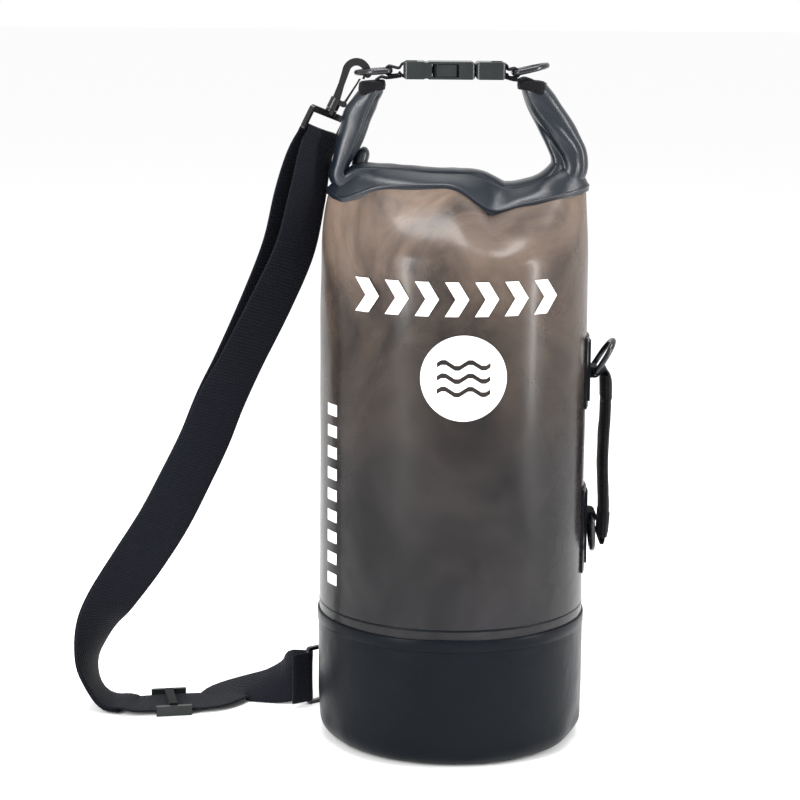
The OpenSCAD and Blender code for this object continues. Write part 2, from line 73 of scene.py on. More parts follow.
def spline(points, count):
    """Smooth curve through rows of numbers, with count samples."""
    p = np.array(points, float)
    p = np.vstack([2 * p[0] - p[1], p, 2 * p[-1] - p[-2]])
    t = np.linspace(0, len(p) - 3 - 1e-9, count)
    i = t.astype(int)
    f = (t - i)[:, None]
    a, b, c, d = p[i], p[i + 1], p[i + 2], p[i + 3]
    return 0.5 * (2 * b + (c - a) * f + (2 * a - 5 * b + 4 * c - d) * f**2 + (3 * b - a - 3 * c + d) * f**3)


def even(points, step):
    """The same curve again, with samples at an even spacing along its first three columns."""
    fine = spline(points, 40 * len(points))
    dist = np.concatenate([[0], np.cumsum(np.linalg.norm(np.diff(fine[:, :3], axis=0), axis=1))])
    s = np.linspace(0, dist[-1], max(4, int(dist[-1] / step) + 1))
    return np.stack([np.interp(s, dist, fine[:, k]) for k in range(fine.shape[1])], 1), s


def curve_of(table):
    """Smooth function of x through (x, value) pairs."""
    fine = spline(table, 60 * len(table))
    order = np.argsort(fine[:, 0])
    return lambda x: np.interp(x, fine[order, 0], fine[order, 1])


def bump(x, centre, width):
    return np.exp(-(((x - centre) / width) ** 2))


def ease(x):
    x = np.clip(x, 0, 1)
    return x * x * (3 - 2 * x)


def unit(v):
    return v / np.maximum(np.linalg.norm(v, axis=-1, keepdims=True), 1e-12)


def wobble(p, scale, seed=0.0):
    """Smooth noise from -1 to 1 at a point in metres; scale is the size of one blob in metres."""
    return noise.noise(Vector((p[0] / scale + seed, p[1] / scale, p[2] / scale)))


# ---------- mesh helpers ----------

def new_object(name, verts, faces, uvs=None, smooth=True):
    mesh = bpy.data.meshes.new(name)
    mesh.from_pydata([tuple(v) for v in verts], [], faces)
    if uvs is not None:
        layer = mesh.uv_layers.new(name="UVMap")
        for loop in mesh.loops:
            layer.data[loop.index].uv = uvs[loop.vertex_index]
    mesh.validate()
    for poly in mesh.polygons:
        poly.use_smooth = smooth
    obj = bpy.data.objects.new(name, mesh)
    bpy.context.scene.collection.objects.link(obj)
    return obj


def loft(name, rings, closed=True, caps=False, uvs=None):
    """Surface through rings of equal length, given as an array (ring, point, xyz)."""
    rings = np.array(rings, float)
    n, m, _ = rings.shape
    verts = rings.reshape(-1, 3)
    last = m if closed else m - 1
    faces = [(i * m + k, i * m + (k + 1) % m, (i + 1) * m + (k + 1) % m, (i + 1) * m + k)
             for i in range(n - 1) for k in range(last)]
    if caps:
        start = len(verts)
        verts = np.vstack([verts, rings[0].mean(0), rings[-1].mean(0)])
        faces += [((k + 1) % m, k, start) for k in range(m)]
        top = (n - 1) * m
        faces += [(top + k, top + (k + 1) % m, start + 1) for k in range(m)]
        if uvs is not None:
            uvs = np.vstack([uvs, uvs[0], uvs[-1]])
    obj = new_object(name, verts, faces, uvs)
    bm = bmesh.new()
    bm.from_mesh(obj.data)
    bmesh.ops.recalc_face_normals(bm, faces=bm.faces)
    bm.to_mesh(obj.data)
    bm.free()
    return obj


def solidify(obj, thickness, offset=-1.0):
    mod = obj.modifiers.new("thickness", "SOLIDIFY")
    mod.thickness = thickness
    mod.offset = offset


def subdivide(obj, levels=1):
    mod = obj.modifiers.new("smooth", "SUBSURF")
    mod.levels = levels
    mod.render_levels = levels


def ribbon(name, path, width_dirs, width, thick, bow=None):
    """Flat webbing swept along path: its section is a thin rounded bar. UVs are metres across and along."""
    t = unit(np.gradient(path, axis=0))
    w = unit(width_dirs - t * np.sum(width_dirs * t, 1, keepdims=True))
    n = np.cross(t, w)
    across = np.array([-1, -0.985, -0.9, -0.45, 0, 0.45, 0.9, 0.985, 1])
    lift = np.array([0.0, 0.75, 1, 1, 1, 1, 1, 0.75, 0.0])
    section = ([(a, h) for a, h in zip(across, lift)]
               + [(a, -h) for a, h in zip(across[-2:0:-1], lift[-2:0:-1])])
    dist = np.concatenate([[0], np.cumsum(np.linalg.norm(np.diff(path, axis=0), axis=1))])
    rings, uvs = [], []
    for i in range(len(path)):
        curl = 0 if bow is None else bow[i]
        rings.append([path[i] + w[i] * a * width / 2 + n[i] * (h * thick / 2 + curl * (a * a - 0.5))
                      for a, h in section])
        uvs += [(a * width / 2, dist[i]) for a, h in section]
    obj = loft(name, rings, closed=True, caps=True, uvs=np.array(uvs))
    return obj, dist[-1]


# ---------- materials ----------

class Nodes:
    """Builds a Principled material step by step."""

    def __init__(self, name, color, rough, **values):
        self.mat = bpy.data.materials.new(name)
        self.mat.use_nodes = True
        self.tree = self.mat.node_tree
        self.bsdf = self.tree.nodes["Principled BSDF"]
        self.bsdf.inputs["Base Color"].default_value = (*color, 1)
        self.bsdf.inputs["Roughness"].default_value = rough
        for key, value in values.items():
            self.bsdf.inputs[key.replace("_", " ")].default_value = value
        self.coord = self.tree.nodes.new("ShaderNodeTexCoord")

    def node(self, kind, **values):
        made = self.tree.nodes.new(kind)
        for key, value in values.items():
            name = key.replace("_", " ")
            if name in made.inputs:
                made.inputs[name].default_value = value
            else:
                setattr(made, key, value)
        return made

    def link(self, a, out, b, into):
        self.tree.links.new(a.outputs[out], b.inputs[into])

    def mapped(self, scale=(1, 1, 1), space="Object", rotation=(0, 0, 0)):
        mapping = self.node("ShaderNodeMapping", Scale=scale, Rotation=rotation)
        self.link(self.coord, space, mapping, "Vector")
        return mapping

    def noise(self, scale, detail=4, stretch=(1, 1, 1), space="Object", rough=0.5):
        tex = self.node("ShaderNodeTexNoise", Scale=scale, Detail=detail, Roughness=rough)
        self.link(self.mapped(stretch, space), "Vector", tex, "Vector")
        return tex

    def ramp(self, source, out, stops):
        made = self.node("ShaderNodeValToRGB")
        elements = made.color_ramp.elements
        while len(elements) < len(stops):
            elements.new(0.5)
        for element, (pos, col) in zip(elements, stops):
            element.position = pos
            element.color = (*col, 1) if len(col) == 3 else col
        self.link(source, out, made, "Fac")
        return made

    def color_from(self, source, out="Color"):
        self.link(source, out, self.bsdf, "Base Color")

    def rough_from(self, source, out, low, high):
        span = self.node("ShaderNodeMapRange")
        span.inputs["To Min"].default_value = low
        span.inputs["To Max"].default_value = high
        self.link(source, out, span, "Value")
        self.link(span, "Result", self.bsdf, "Roughness")

    def bump_from(self, layers):
        """layers: (node, output, distance in metres), added one after another."""
        previous = None
        for source, out, distance in layers:
            made = self.node("ShaderNodeBump", Distance=distance)
            made.inputs["Strength"].default_value = 1.0
            self.link(source, out, made, "Height")
            if previous is not None:
                self.link(previous, "Normal", made, "Normal")
            previous = made
        self.link(previous, "Normal", self.bsdf, "Normal")


def coated_fabric(name, sheen, tone):
    """Satin PVC-coated cloth: fine grain, faint cloudiness and scuffs."""
    m = Nodes(name, (0.015, 0.018, 0.024), 0.42)
    m.bsdf.inputs["Specular IOR Level"].default_value = sheen
    # tone scales the cloth's colour: it darkens the base's copy as painted shade and lightens the collar's
    # copy as painted sheen from the top light.
    low = tuple(c * tone for c in (0.0035, 0.0052, 0.0085))
    high = tuple(c * tone for c in (0.0085, 0.0115, 0.0160))
    m.color_from(m.ramp(m.noise(9, 5), "Fac", [(0.3, low), (0.7, high)]))
    m.rough_from(m.noise(60, 6), "Fac", 0.24, 0.36)
    m.bump_from([(m.noise(26, 4), "Fac", 0.0012), (m.noise(1500, 3), "Fac", 0.00010)])
    return m.mat


def smoky_film():
    """Smoky see-through film: brown towards the top, darker lower down, softly mottled, partly by its own
    cloudiness and partly by painted reflections.
    """
    m = Nodes("smoky_film", (0.1, 0.085, 0.075), 0.28, Coat_Weight=0.08, Coat_Roughness=0.12)
    m.bsdf.inputs["Specular IOR Level"].default_value = 0.17
    height = m.node("ShaderNodeSeparateXYZ")
    m.link(m.coord, "Object", height, "Vector")
    rise = m.node("ShaderNodeMapRange")
    rise.inputs["From Min"].default_value = 0.09
    rise.inputs["From Max"].default_value = 0.39
    m.link(height, "Z", rise, "Value")
    tone = m.ramp(rise, "Result", [(0.0, (0.010, 0.010, 0.012)), (0.4, (0.013, 0.0115, 0.012)),
                                   (0.66, (0.034, 0.027, 0.023)), (1.0, (0.105, 0.083, 0.070))])
    # Mottling multiplied into the tone: partly the film's own cloudiness, partly painted reflections.
    folds = m.noise(11, 7, rough=0.6, stretch=(1, 1, 0.75))
    folds.inputs["Distortion"].default_value = 1.1
    cloud = m.ramp(folds, "Fac", [(0.38, (0.40, 0.40, 0.43)), (0.64, (1.75, 1.62, 1.50))])
    mix = m.node("ShaderNodeMix", data_type="RGBA", blend_type="MULTIPLY")
    mix.inputs[0].default_value = 1.0
    m.tree.links.new(tone.outputs["Color"], mix.inputs[6])
    m.tree.links.new(cloud.outputs["Color"], mix.inputs[7])
    m.tree.links.new(mix.outputs[2], m.bsdf.inputs["Base Color"])
    m.bsdf.inputs["Alpha"].default_value = 0.9
    m.rough_from(m.noise(30, 4), "Fac", 0.2, 0.36)
    m.bump_from([(m.noise(20, 3), "Fac", 0.0010)])
    return m.mat


def webbing(name, low, high, pitch=1.25 * MM, space="Object", rough=0.72, twill=False):
    """Woven tape: crossed yarn rows with a little fuzz."""
    m = Nodes(name, high, rough, Sheen_Weight=0.04, Sheen_Roughness=0.5)
    m.bsdf.inputs["Specular IOR Level"].default_value = 0.08
    k = 1 / pitch
    warp = m.node("ShaderNodeTexWave", Scale=1.0, Distortion=0.15, Detail=1.0)
    warp.bands_direction = "X"
    warp_turn = (0, 0, math.radians(32)) if twill else (0, 0, 0)
    m.link(m.mapped((k * 0.16,) * 3, space, warp_turn), "Vector", warp, "Vector")
    weft = m.node("ShaderNodeTexWave", Scale=1.0, Distortion=0.2, Detail=1.0)
    weft.bands_direction = "Y" if space == "UV" else "Z"
    m.link(m.mapped((k * 0.16,) * 3, space), "Vector", weft, "Vector")
    fuzz = m.noise(900, 3)
    m.color_from(m.ramp(fuzz, "Fac", [(0.3, low), (0.75, high)]))
    m.bump_from([(warp, "Fac", 0.00022), (weft, "Fac", 0.00018), (fuzz, "Fac", 0.0001)])
    return m.mat


def moulded(name, color, rough, grain=0.00004):
    """Moulded or coated hardware: slightly uneven sheen with a fine surface texture."""
    m = Nodes(name, color, rough, Coat_Weight=0.1, Coat_Roughness=0.2)
    m.bsdf.inputs["Specular IOR Level"].default_value = 0.35
    cloud = m.noise(70, 4)
    lighter = tuple(c * 1.6 + 0.001 for c in color)
    m.color_from(m.ramp(cloud, "Fac", [(0.35, color), (0.8, lighter)]))
    m.rough_from(m.noise(120, 5), "Fac", rough - 0.08, rough + 0.1)
    m.bump_from([(m.noise(1800, 3), "Fac", grain)])
    return m.mat


def printed_ink():
    m = Nodes("printed_ink", (0.86, 0.86, 0.86), 0.4, Coat_Weight=0.1)
    m.color_from(m.ramp(m.noise(40, 5), "Fac", [(0.3, (0.80, 0.80, 0.80)), (0.7, (0.90, 0.90, 0.89))]))
    m.bump_from([(m.noise(700, 4), "Fac", 0.00006)])
    return m.mat


# One black coated cloth in two copies: the base copy's darker colour is painted shade, the collar copy's
# lighter colour is painted sheen.
BASE_FABRIC_PAINTED_SHADE = coated_fabric("base_cloth_painted_shade", 0.07, 0.55)
COLLAR_FABRIC_PAINTED_SHEEN = coated_fabric("collar_cloth_painted_sheen", 0.42, 1.4)
FILM = smoky_film()
STRAP_WEB = webbing("strap_webbing", (0.0020, 0.0025, 0.0048), (0.0058, 0.0068, 0.0115),
                    space="UV", twill=True)
TAPE_WEB = webbing("tape_webbing", (0.003, 0.003, 0.004), (0.008, 0.008, 0.010), space="UV")
TAB_WEB = webbing("tab_webbing", (0.003, 0.003, 0.004), (0.008, 0.008, 0.010))
BUCKLE = moulded("buckle_plastic", (0.007, 0.009, 0.009), 0.28)
RING = moulded("ring_plastic", (0.005, 0.006, 0.008), 0.22)
HOOK = moulded("hook_coating", (0.003, 0.003, 0.004), 0.26)
INK = printed_ink()
STIFF = moulded("stiffener_plastic", (0.03, 0.03, 0.033), 0.5)


def dress(obj, material):
    obj.data.materials.clear()
    obj.data.materials.append(material)


def finish_cad(names, material, bevel=0.0):
    """Better material on CAD nodes whose shape is right, with softened edges."""
    for name in names:
        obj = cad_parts[name]
        obj.data.materials.clear()
        obj.data.materials.append(material)
        if bevel:
            mod = obj.modifiers.new("edges", "BEVEL")
            mod.width = bevel
            mod.segments = 2
            mod.limit_method = "ANGLE"
            mod.angle_limit = math.radians(40)


# ---------- camera, light and floor ----------

def stage():
    scene = bpy.context.scene
    cam = bpy.data.objects.new("camera", bpy.data.cameras.new("camera"))
    scene.collection.objects.link(cam)
    cam.data.sensor_width = 36
    cam.data.lens = 103.15
    eye = Vector((-0.03732, -1.6, 0.52768))
    aim = Vector((-0.03732, 0, 0.24148))
    turn = (aim - eye).to_track_quat("-Z", "Y").to_matrix().to_4x4()
    roll = Matrix.Rotation(0.00786, 4, "Z")
    cam.matrix_world = Matrix.Translation(eye) @ turn @ roll
    cam.data.clip_end = 100
    scene.camera = cam

    side = 30
    floor = new_object("floor", [(-side, -side, 0), (side, -side, 0), (side, side, 0), (-side, side, 0)],
                       [(0, 1, 2, 3)], smooth=False)
    paper = Nodes("paper", (0.97, 0.97, 0.97), 0.9)
    paper.bsdf.inputs["Specular IOR Level"].default_value = 0.0
    floor.data.materials.append(paper.mat)

    world = bpy.data.worlds.new("studio")
    world.use_nodes = True
    world.node_tree.nodes["Background"].inputs["Color"].default_value = (1, 1, 1, 1)
    world.node_tree.nodes["Background"].inputs["Strength"].default_value = 1.0
    scene.world = world
    scene.view_settings.view_transform = "Standard"

    def area(name, place, target, size_x, size_y, power):
        data = bpy.data.lights.new(name, "AREA")
        data.shape = "RECTANGLE"
        data.size = size_x
        data.size_y = size_y
        data.energy = power
        light = bpy.data.objects.new(name, data)
        light.location = place
        light.rotation_euler = (Vector(target) - Vector(place)).to_track_quat("-Z", "Y").to_euler()
        scene.collection.objects.link(light)

    middle = (0, 0, 0.25)
    area("left_box", (-1.0, -1.1, 0.75), middle, 0.20, 1.3, 26)
    area("right_box", (1.25, -0.5, 0.6), middle, 0.14, 1.2, 18)
    area("top_box", (0.0, 0.1, 1.9), middle, 1.2, 0.5, 30)


stage()


# ---------- bag shell ----------

# Height of the seam between film and collar at each X, as seen from the front
seam_height = curve_of([(-0.1, 0.393), (-0.090, 0.391), (-0.084, 0.3855), (-0.078, 0.3825), (-0.068, 0.3850),
                        (-0.052, 0.3895), (-0.02, 0.3905), (0.0, 0.389), (0.017, 0.3775), (0.028, 0.3735),
                        (0.045, 0.3782), (0.062, 0.3822), (0.082, 0.3885), (0.096, 0.396)])
# Height of the roll's top at each X
roll_height = curve_of([(-0.1, 0.398), (-0.082, 0.404), (-0.063, 0.4105), (-0.018, 0.4065), (0.016, 0.4055),
                        (0.035, 0.397), (0.051, 0.3995), (0.064, 0.407), (0.08, 0.414), (0.1, 0.414)])
AROUND = 144
ANGLES = np.arange(AROUND) * 2 * math.pi / AROUND


def film_half_depth(h):
    """Half depth of the film at h from 0 at the shoulder to 1 at the collar seam."""
    return FILM_R - (FILM_R - 0.034) * h**1.75


def film_half_width(h, right):
    inward = np.where(right, 0.0015 * h**4, 0.0050 * h**2.2)
    return FILM_R - inward


def seam_point(ang):
    """The film's top edge at each angle round the bag."""
    x = np.cos(ang) * film_half_width(1.0, np.cos(ang) > 0)
    y = np.sin(ang) * film_half_depth(1.0)
    return np.stack([x, y, seam_height(x) + 0.17 * np.abs(y)], 1)


def pleats(ang, h):
    """Inward folds of the film under the roll, as a depth in metres."""
    deep = 0.0
    for centre, width, depth in [(-1.30, 0.055, 6.0), (-1.52, 0.09, 1.2), (-0.92, 0.10, 1.5),
                                 (-1.95, 0.12, 1.6), (-2.45, 0.10, 1.4), (-0.5, 0.09, 1.2),
                                 (0.7, 0.1, 2.5), (1.2, 0.07, 3.0), (1.75, 0.08, 3.0), (2.3, 0.1, 2.5)]:
        off = (ang - centre + math.pi) % (2 * math.pi) - math.pi
        deep = deep + depth * MM * bump(off, 0.10 * (1 - h), width)
    return deep * ease((h - 0.25) / 0.75)


def body_film():
    rings = []
    straight = np.linspace(FILM_BOTTOM, SHOULDER_Z, 34)
    ang = ANGLES
    for z in straight:
        ring = np.stack([FILM_R * np.cos(ang), FILM_R * np.sin(ang), np.full(AROUND, z)], 1)
        rings.append(ring)
    top = seam_point(ang)
    for h in np.linspace(0.06, 1, 26):
        a = film_half_width(h, np.cos(ang) > 0) - pleats(ang, h)
        b = film_half_depth(h) - pleats(ang, h)
        z = SHOULDER_Z + (top[:, 2] - SHOULDER_Z) * h
        rings.append(np.stack([a * np.cos(ang), b * np.sin(ang), z], 1))
    rings = np.array(rings)
    # slack film: shallow waves, always inwards so that the prints stay outside
    for ring in rings:
        for p in ring:
            rise = ease((p[2] - 0.10) / 0.05)
            near_top = ease((p[2] - 0.30) / 0.08)
            deep = (0.0007 + 0.0016 * near_top) * rise * (0.5 + 0.5 * wobble(p, 0.045, 3.1))
            streak = wobble((p[0] * 2.2, p[1] * 2.2, p[2] * 0.8), 0.05, 8.0)
            deep += 0.0011 * rise * near_top * max(0.0, streak)
            r = math.hypot(p[0], p[1])
            p[0] -= p[0] / r * deep
            p[1] -= p[1] / r * deep
    film = loft("film_tube", rings)
    solidify(film, 0.6 * MM)
    dress(film, FILM)
    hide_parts("body_film")
    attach(film, "bag")


def base_band():
    """Soft base: a round bottom corner that slumps a little between weld puckers."""
    corner = 0.0155
    profile = [(0.0622, 0.0004), (0.0700, 0.0002), (0.0755, 0.0)]
    for a in np.linspace(-90, 0, 12):
        profile.append((BASE_R - corner + corner * math.cos(math.radians(a)),
                        corner + corner * math.sin(math.radians(a))))
    for z in np.linspace(corner + 0.004, BASE_H, 26):
        profile.append((BASE_R, z))
    rings = []
    for r, z in profile:
        ring = []
        for k in range(AROUND):
            ang = k * 2 * math.pi / AROUND
            waves = 0.0014 * math.sin(5 * ang + 0.4) + 0.0009 * math.sin(11 * ang + 2.0)
            sag = bump(z, 0.013, 0.012) * waves
            dent = 0.0008 * wobble((math.cos(ang) * r, math.sin(ang) * r, z), 0.035, 5.5)
            weld = 0.0006 * bump(z, BASE_H - 0.0095, 0.0011)
            rr = r + (min(0, sag) + min(0.0, dent) - weld if r > 0.08 else 0)
            ring.append((rr * math.cos(ang), rr * math.sin(ang), z))
        rings.append(ring)
    band = loft("base_shell", rings)
    solidify(band, 0.8 * MM)
    dress(band, BASE_FABRIC_PAINTED_SHADE)
    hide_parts("base_band")
    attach(band, "bag")


def weld_seams():
    """Raised weld line round the base's top edge and the thin edge that shows on the film."""
    rings = []
    for r, z in [(0.0, -0.0085), (0.0005, -0.008), (0.00055, -0.004), (0.0005, -0.0006),
                 (0.00025, 0.0), (-0.0004, 0.0001)]:
        rings.append([((BASE_R + r) * math.cos(a), (BASE_R + r) * math.sin(a), BASE_H + z
                       + 0.0003 * math.sin(7 * a) * (z > -0.002))
                      for a in ANGLES])
    seam = loft("base_weld", rings)
    solidify(seam, 0.3 * MM)
    dress(seam, BASE_FABRIC_PAINTED_SHADE)
    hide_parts("base_weld_band")
    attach(seam, "bag")


def collar():
    """Coated skirt from the seam up and over the roll's front and back."""
    ang = ANGLES
    low = seam_point(ang)
    rows = 18
    rings = []
    for j in range(rows + 1):
        t = j / rows
        x = low[:, 0] * (1 - 0.09 * t)
        top_z = roll_height(x) - 0.0025
        close = np.clip(np.abs(x) / 0.09, 0, 1)
        top_y = 0.0085 * np.sign(low[:, 1]) * np.sqrt(np.maximum(0, 1 - close**4))
        y = low[:, 1] * (1 - t) + top_y * t
        y = y + np.sign(low[:, 1]) * 0.004 * np.sin(math.pi * t) * np.sqrt(np.maximum(0, 1 - close**4))
        z = low[:, 2] + (top_z - low[:, 2]) * (t ** 0.92)
        p = np.stack([x, y, z], 1)
        grow = 0.0007 * (1 - t)
        p[:, 0] += np.cos(ang) * grow
        p[:, 1] += np.sin(ang) * grow
        fold = 0.0045 * bump(p[:, 0], 0.026 + 0.004 * t, 0.009) * math.sin(math.pi * min(1, t * 1.2))
        p[:, 1] -= np.sign(p[:, 1]) * fold
        fold = 0.0025 * bump(p[:, 0], 0.066 - 0.010 * t, 0.008) * math.sin(math.pi * t)
        p[:, 1] -= np.sign(p[:, 1]) * fold
        rings.append(p)
    skirt = loft("collar_skirt", rings)
    solidify(skirt, 0.8 * MM)
    subdivide(skirt)
    dress(skirt, COLLAR_FABRIC_PAINTED_SHEEN)
    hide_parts("collar")
    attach(skirt, "bag")


def film_rib():
    """Edge of the film's overlap just above the base: a faint line round the bag."""
    rings = []
    for out, up in [(-0.0003, -0.0010), (0.0002, -0.0006), (0.00025, 0.0), (0.0002, 0.0006),
                    (-0.0003, 0.0010)]:
        rings.append([((FILM_R + out) * math.cos(a), (FILM_R + out) * math.sin(a), BASE_H + 0.0066 + up)
                      for a in ANGLES])
    rib = loft("film_overlap", rings)
    solidify(rib, 0.3 * MM)
    dress(rib, BASE_FABRIC_PAINTED_SHADE)
    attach(rib, "bag")


def seam_bead():
    """Narrow raised hem that follows the collar's seam."""
    ang = ANGLES
    line = seam_point(ang)
    rings = []
    for out, up in [(0.0006, -0.0035), (0.0010, -0.0028), (0.0013, -0.0004), (0.0019, 0.0),
                    (0.0017, 0.0012), (0.0008, 0.0016)]:
        ring = line.copy()
        ring[:, 0] += np.cos(ang) * out * 0.5
        ring[:, 1] += np.sin(ang) * out * 1.2 - np.sin(ang) * up * 0.35
        ring[:, 2] += up
        rings.append(ring)
    bead = loft("collar_seam", rings)
    solidify(bead, 0.3 * MM)
    dress(bead, COLLAR_FABRIC_PAINTED_SHEEN)
    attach(bead, "bag")


# ---------- rolled mouth ----------

def tube_section(path, name, folds, power=2.5, count=56):
    """Rounded tube along path rows (x, y, z, half thickness, half depth); folds(u, a) adds to its radius."""
    rows, dist = even(path, 0.0016)
    pts = rows[:, :3]
    t = unit(np.gradient(pts, axis=0))
    depth = np.array([0.0, 1.0, 0.0])
    out = unit(np.cross(t, depth))
    rings = []
    for i, row in enumerate(rows):
        u = dist[i] / dist[-1]
        ring = []
        for k in range(count):
            a = k * 2 * math.pi / count
            c, s = math.cos(a), math.sin(a)
            e = 2 / power
            rn = row[3] * math.copysign(abs(c)**e, c)
            ry = row[4] * math.copysign(abs(s)**e, s)
            grow = 1 + folds(u, a)
            p = pts[i] + out[i] * rn * grow + depth * ry * grow
            ring.append(p + 0.0006 * wobble(p, 0.012, 2.0) * unit(out[i] * c + depth * s))
        rings.append(ring)
    obj = loft(name, rings, caps=True)
    dress(obj, COLLAR_FABRIC_PAINTED_SHEEN)
    return obj


def crease(u, a, u0, a0, slope, width, depth):
    """Long fold: depth at angle a0 + slope * (u - u0), fading away from u0."""
    off = (a - a0 - slope * (u - u0) + math.pi) % (2 * math.pi) - math.pi
    return depth * math.exp(-((off / width) ** 2)) * math.exp(-(((u - u0) / 0.3) ** 2))


def left_roll():
    """Left ear and the roll's long stretch, up to the dip right of the middle."""
    path = [(-0.0578, 0, 0.4650, 0.0070, 0.0120), (-0.0580, 0, 0.4605, 0.0078, 0.0123),
            (-0.0606, 0, 0.456, 0.0078, 0.0122),
            (-0.0644, 0, 0.449, 0.0090, 0.0120), (-0.0690, 0, 0.440, 0.0100, 0.0118),
            (-0.0725, 0, 0.4285, 0.0092, 0.0118), (-0.0765, 0, 0.418, 0.0078, 0.0120),
            (-0.0800, 0, 0.4085, 0.0064, 0.0122), (-0.0815, 0, 0.4005, 0.0068, 0.0125),
            (-0.0760, 0, 0.3965, 0.0080, 0.0132), (-0.0640, 0, 0.4005, 0.0088, 0.0138),
            (-0.0400, 0, 0.4000, 0.0082, 0.0138), (-0.0180, 0, 0.3985, 0.0080, 0.0138),
            (0.0020, 0, 0.3980, 0.0080, 0.0136), (0.0180, 0, 0.3965, 0.0080, 0.0134),
            (0.0320, 0, 0.3895, 0.0078, 0.0132), (0.0420, 0, 0.3895, 0.0070, 0.0120)]

    def folds(u, a):
        ridge = crease(u, a, 0.14, -1.35, 0.9, 0.30, 0.10)
        groove = crease(u, a, 0.16, -0.70, 0.6, 0.22, -0.16)
        back = crease(u, a, 0.2, 2.0, -1.0, 0.25, -0.15)
        roll_edge = -0.10 * math.exp(-(((a - 2.1) / 0.16) ** 2)) * (u > 0.4)
        return ridge + groove + back + roll_edge

    roll = tube_section(path, "roll_left", folds)
    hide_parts("rolled_mouth")
    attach(roll, "bag")


def right_roll():
    """Right ear: it follows the plug's side of the buckle from the bag's side upwards."""
    path = [(0.0300, 0, 0.3890, 0.0076, 0.0130), (0.0440, 0, 0.3895, 0.0082, 0.0132),
            (0.0580, 0, 0.3920, 0.0096, 0.0135), (0.0705, 0, 0.3975, 0.0120, 0.0135),
            (0.0785, 0, 0.4060, 0.0132, 0.0130), (0.0785, 0, 0.4160, 0.0128, 0.0125),
            (0.0735, 0, 0.4275, 0.0122, 0.0122), (0.0670, 0, 0.4390, 0.0115, 0.0120),
            (0.0600, 0, 0.4500, 0.0108, 0.0120), (0.0545, 0, 0.4605, 0.0092, 0.0123),
            (0.0540, 0, 0.4655, 0.0086, 0.0120)]

    def folds(u, a):
        ridge = crease(u, a, 0.62, -1.75, 2.6, 0.14, 0.10)
        pit = crease(u, a, 0.50, -1.15, 2.2, 0.26, -0.26)
        small = crease(u, a, 0.40, -2.2, 1.5, 0.16, -0.16)
        back = crease(u, a, 0.6, 1.6, -2.0, 0.25, -0.16)
        return ridge + pit + small + back

    roll = tube_section(path, "roll_right", folds)
    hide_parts("rolled_mouth")
    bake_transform(roll)


def ear_hem(name, node, body, slant):
    """Bound end of an ear: a webbing band folded over its tip."""
    low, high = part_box(node)
    x0, x1, top = low.x - 0.0012, high.x + 0.0004, high.z
    middle = (x0 + x1) / 2
    rings = []
    for z, grow in [(-0.0078, -0.0004), (-0.0076, 0.0003), (-0.0040, 0.0007), (-0.0010, 0.0002),
                    (-0.0002, -0.0008), (0.0, -0.0026)]:
        ring = []
        for k in range(64):
            a = k * 2 * math.pi / 64
            c, s = math.cos(a), math.sin(a)
            x = middle + ((x1 - x0) / 2 + grow) * math.copysign(abs(c)**0.6, c)
            y = (0.0134 + grow) * math.copysign(abs(s)**0.6, s)
            lean = slant * (x - middle) * (0.5 + z / -0.0078)
            ring.append((x, y, top + z + lean + 0.0005 * math.sin(x * 420) * (z < -0.003)))
        rings.append(ring)
    band = loft(name, rings, caps=True)
    dress(band, TAB_WEB)
    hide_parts(node)
    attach(band, body)


def roll_knob():
    """End of the inner turn that shows behind the left ear."""
    path = [(-0.070, 0.006, 0.400, 0.0045, 0.006), (-0.0665, 0.007, 0.410, 0.0052, 0.0065),
            (-0.0640, 0.008, 0.4165, 0.0042, 0.0052), (-0.0632, 0.008, 0.4195, 0.0016, 0.0022)]
    knob = tube_section(path, "roll_knob", lambda u, a: 0.0, power=2.1, count=28)
    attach(knob, "bag")


def stiffener():
    """Flexible strip inside the roll, in two pieces; the right piece runs up the plug's side."""
    left = [(-0.0585, 0, 0.456), (-0.065, 0, 0.448), (-0.0712, 0, 0.432), (-0.078, 0, 0.413),
            (-0.0785, 0, 0.4), (-0.066, 0, 0.4), (-0.04, 0, 0.4), (0, 0, 0.398),
            (0.018, 0, 0.3965), (0.032, 0, 0.3895)]
    right = [(0.033, 0, 0.389), (0.05, 0, 0.39), (0.068, 0, 0.397), (0.077, 0, 0.408), (0.074, 0, 0.425),
             (0.065, 0, 0.442), (0.055, 0, 0.458)]
    for name, route in (("stiffener_left", left), ("stiffener_right", right)):
        pts, _ = even(route, 0.003)
        strip, _ = ribbon(name, pts, np.tile([0, 1.0, 0], (len(pts), 1)), 0.016, 1.2 * MM)
        dress(strip, STIFF)
        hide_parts("mouth_stiffener")
        if name == "stiffener_left":
            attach(strip, "bag")
        else:
            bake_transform(strip)


# ---------- closure webbing ----------

